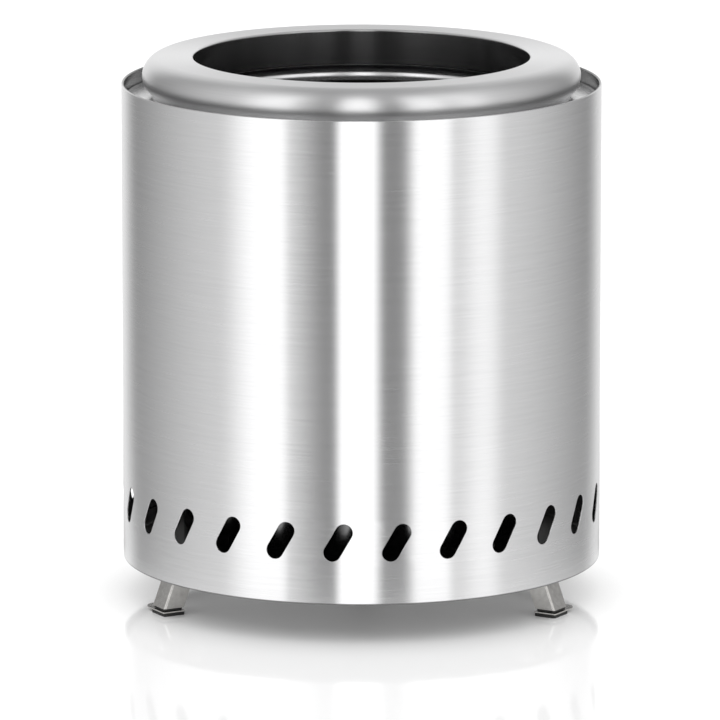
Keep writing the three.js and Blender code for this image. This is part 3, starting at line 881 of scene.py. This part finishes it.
def screw_mesh(node):
    """A button-headed screw seen from below, with a six-sided socket."""
    low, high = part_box(node)
    head_top = low.z + SCREW_HEAD_HEIGHT
    socket = low.z + SOCKET_DEPTH
    button = dome(SCREW_HEAD_RADIUS, low.z + SCREW_HEAD_HEIGHT / 2, -SCREW_HEAD_HEIGHT / 2)
    rim = [point for point in reversed(button) if point[0] > SOCKET_RIM]
    profile = [(0, socket), (SOCKET_FLAT, socket, "hex"), (SOCKET_FLAT, low.z, "hex"), *rim]
    profile += [(SCREW_HEAD_RADIUS, head_top), (SCREW_SHANK, head_top), (SCREW_SHANK, high.z), (0, high.z)]
    return at_centre_of(node, turned(node, profile, SMALL_COLUMNS, closed=False))


def nut_mesh(node):
    """A six-sided nut, chamfered at both faces."""
    low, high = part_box(node)
    chamfer = NUT_FLAT * NUT_CHAMFER_SHARE
    bore = SCREW_SHANK + THREAD_GAP
    profile = [
        (bore, low.z), (NUT_FLAT - chamfer, low.z), (NUT_FLAT, low.z + chamfer, "hex"),
        (NUT_FLAT, high.z - chamfer, "hex"), (NUT_FLAT - chamfer, high.z), (bore, high.z),
    ]
    return at_centre_of(node, turned(node, profile, SMALL_COLUMNS))


def rivet_mesh(node):
    """A rivet with a domed head above and a countersunk end below."""
    low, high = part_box(node)
    head = (high.x - low.x) / 2
    seat = high.z - RIVET_HEAD_HEIGHT
    profile = [(0, low.z), (head, low.z), (RIVET_SHANK, low.z + RIVET_HEAD_HEIGHT / 2), (RIVET_SHANK, seat)]
    profile += dome(head, seat, RIVET_HEAD_HEIGHT)
    return at_centre_of(node, turned(node, profile, SMALL_COLUMNS, closed=False))


def build_body(materials):
    shell, ring, drum = (materials[name] for name in ("shell_steel", "ring_steel", "drum_steel"))
    # inner is the darker steel that paints shade on the support ring, grate and ash pan inside the pit
    inner, plain = materials["inner_steel"], materials["plain_steel"]
    add_piece("outer_shell", shell_mesh(), "fire_pit", shell)
    add_piece("flame_ring", ring_mesh(), "flame_ring", ring)
    add_piece("burn_chamber", drum_mesh(), "fire_pit", drum)
    add_piece("base_plate", base_mesh(), "fire_pit", plain)
    add_piece("grate_support_ring", support_mesh(), "fire_pit", inner)
    add_piece("fire_grate", grate_mesh(), "fire_grate", inner)
    add_piece("ash_pan", pan_mesh(), "ash_pan", inner)
    add_piece("ash_pan_handle", handle_mesh(), "ash_pan", materials["leg_steel"])
    for side in ("left", "right"):
        node = f"ash_pan_rivet_{side}"
        add_piece(node, rivet_mesh(node), "ash_pan", materials["plated_steel"])


def build_legs(materials):
    steel, plated, rubber = (materials[name] for name in ("leg_steel", "plated_steel", "black_rubber"))
    for place, degrees in LEG_ANGLES.items():
        parts = (
            ("leg", channel_mesh(), steel, "leg_steel"),
            ("foot_pad", pad_mesh(), rubber, "black_pad"),
            ("foot_plate", plate_mesh(TAB_SIDES[place]), steel, "leg_steel"),
        )
        for part, mesh, material, slot in parts:
            mesh.transform(Matrix.Rotation(math.radians(degrees), 4, "Z"))
            add_piece(f"{part}_{place}", mesh, "fire_pit", material)
        node = f"foot_rivet_{place}"
        add_piece(node, rivet_mesh(node), "fire_pit", plated)
        for i in (1, 2):
            screw, nut = f"leg_screw_{place}_{i}", f"leg_nut_{place}_{i}"
            add_piece(screw, screw_mesh(screw), "fire_pit", plated)
            add_piece(nut, nut_mesh(nut), "fire_pit", plated)


def build_object():
    materials = all_materials()
    build_body(materials)
    build_legs(materials)


# Studio
def seen_directly(tree):
    """1 for what the camera sees, straight or in metal or glass, and 0 for light that falls on things."""
    path = new_node(tree, "ShaderNodeLightPath")
    flags = [path.outputs[f"Is {kind} Ray"] for kind in ("Camera", "Glossy", "Transmission")]
    return calculated(tree, "MAXIMUM", calculated(tree, "MAXIMUM", flags[0], flags[1]), flags[2])


def set_world():
    """White at the horizon and greyer overhead where it is seen, and an even light on what it falls on."""
    world = bpy.data.worlds.new("studio")
    scene.world = world
    world.use_nodes = True
    tree = world.node_tree
    background = tree.nodes["Background"]
    background.inputs["Color"].default_value = (1, 1, 1, 1)
    direction = new_node(tree, "ShaderNodeTexCoord").outputs["Generated"]
    height = new_node(tree, "ShaderNodeSeparateXYZ", {"Vector": direction}).outputs["Z"]
    seen = ranged(tree, height, (SKY_START, SKY_END), (1, SKY_LEVEL))
    strength = new_node(tree, "ShaderNodeMix", {"Factor": seen_directly(tree), "A": WORLD_LEVEL, "B": seen})
    tree.links.new(strength.outputs["Result"], background.inputs["Strength"])


def stage_object(name, corners, faces):
    """A mesh that belongs to the studio, not to the object."""
    mesh = bpy.data.meshes.new(name)
    mesh.from_pydata(corners, [], faces)
    piece = bpy.data.objects.new(name, mesh)
    scene.collection.objects.link(piece)
    return piece


def add_floor():
    """A white floor that keeps the object's shadow, shown a little brighter where nothing stands near."""
    h = FLOOR_HALF
    floor = stage_object("floor", [(-h, -h, 0), (h, -h, 0), (h, h, 0), (-h, h, 0)], [(0, 1, 2, 3)])
    material, tree, shader = new_material("floor_white")
    shader.inputs["Base Color"].default_value = FLOOR_COLOUR
    shader.inputs["Roughness"].default_value = FLOOR_ROUGHNESS
    shader.inputs["Emission Color"].default_value = (1, 1, 1, 1)
    reach = {"Distance": FLOOR_SHADE_REACH}
    shade = new_node(tree, "ShaderNodeAmbientOcclusion", reach, samples=FLOOR_SHADE_SAMPLES)
    lift = calculated(tree, "MULTIPLY", seen_directly(tree), shade.outputs["AO"])
    tree.links.new(ranged(tree, lift, (0, 1), (0, FLOOR_LIFT)), shader.inputs["Emission Strength"])
    floor.data.materials.append(material)


def tent_part(name, material, start, end):
    """A surface between two circles, given as radius and height, that shines inwards and upwards only."""
    angles = [-TENT_REACH + 2 * TENT_REACH * i / TENT_COLUMNS for i in range(TENT_COLUMNS + 1)]
    corners = [around(radius, a, height) for a in angles for radius, height in (start, end)]
    faces = [(2 * i, 2 * i + 1, 2 * i + 3, 2 * i + 2) for i in range(TENT_COLUMNS)]
    part = stage_object(name, corners, faces)
    part.visible_camera = False
    part.visible_diffuse = False
    part.visible_shadow = False
    part.data.materials.append(material)


def shown_azimuth(tree, x, y):
    """Degrees from the front, spread on the low sheet so that the body shows each strip upright."""
    turn = calculated(tree, "ARCTAN2", x, calculated(tree, "MULTIPLY", y, -1))
    radius = radius_of(tree, x, y)
    near = calculated(tree, "DIVIDE", radius, calculated(tree, "SUBTRACT", radius, BODY_RADIUS / 2))
    far = (TENT_RADIUS - BODY_RADIUS / 2) / TENT_RADIUS
    spread = calculated(tree, "MULTIPLY", near, far)
    return calculated(tree, "MULTIPLY", calculated(tree, "DEGREES", turn), spread)


def tent_strength(tree):
    """A base light that is stronger near the floor, the strips added to it, all of it weaker at the foot."""
    x, y, z = place_parts(tree)
    azimuth = shown_azimuth(tree, x, y)
    strength = ranged(tree, z, (0, TENT_LOW_REACH), (TENT_LOW_BASE, TENT_BASE))
    for rise, full, fade, gone, brightness in TENT_LIGHTS.values():
        rising = ranged(tree, azimuth, (rise, full), interpolation_type="SMOOTHSTEP")
        falling = ranged(tree, azimuth, (fade, gone), (1, 0), interpolation_type="SMOOTHSTEP")
        share = calculated(tree, "MULTIPLY", rising, falling)
        strength = calculated(tree, "MULTIPLY_ADD", share, brightness, strength)
    foot_share = ranged(tree, z, (0, TENT_FOOT_HEIGHT), (TENT_FOOT_SHARE, 1))
    return calculated(tree, "MULTIPLY", strength, foot_share)


def tent_light():
    """Light on the faces that look inwards and upwards, and nothing at all on their backs."""
    material = bpy.data.materials.new("light_tent")
    material.use_nodes = True
    tree = material.node_tree
    tree.nodes.remove(tree.nodes["Principled BSDF"])
    light = new_node(tree, "ShaderNodeEmission", {"Strength": tent_strength(tree)}).outputs[0]
    clear = new_node(tree, "ShaderNodeBsdfTransparent").outputs[0]
    behind = new_node(tree, "ShaderNodeNewGeometry").outputs["Backfacing"]
    one_sided = new_node(tree, "ShaderNodeMixShader", {0: behind, 1: light, 2: clear}).outputs[0]
    tree.links.new(one_sided, tree.nodes["Material Output"].inputs["Surface"])
    return material


def add_light_tent():
    """An upright wall, and a sheet that carries its strips inwards just above the floor."""
    material = tent_light()
    tent_part("light_tent", material, (TENT_RADIUS, 0), (TENT_RADIUS, TENT_HEIGHT))
    inner, outer = (TENT_SHEET_START, TENT_SHEET_HEIGHT), (TENT_RADIUS, TENT_SHEET_HEIGHT)
    tent_part("low_light_sheet", material, inner, outer)


add_camera()
set_world()
add_floor()
add_light_tent()
build_object()
scene.view_settings.view_transform = "Standard"
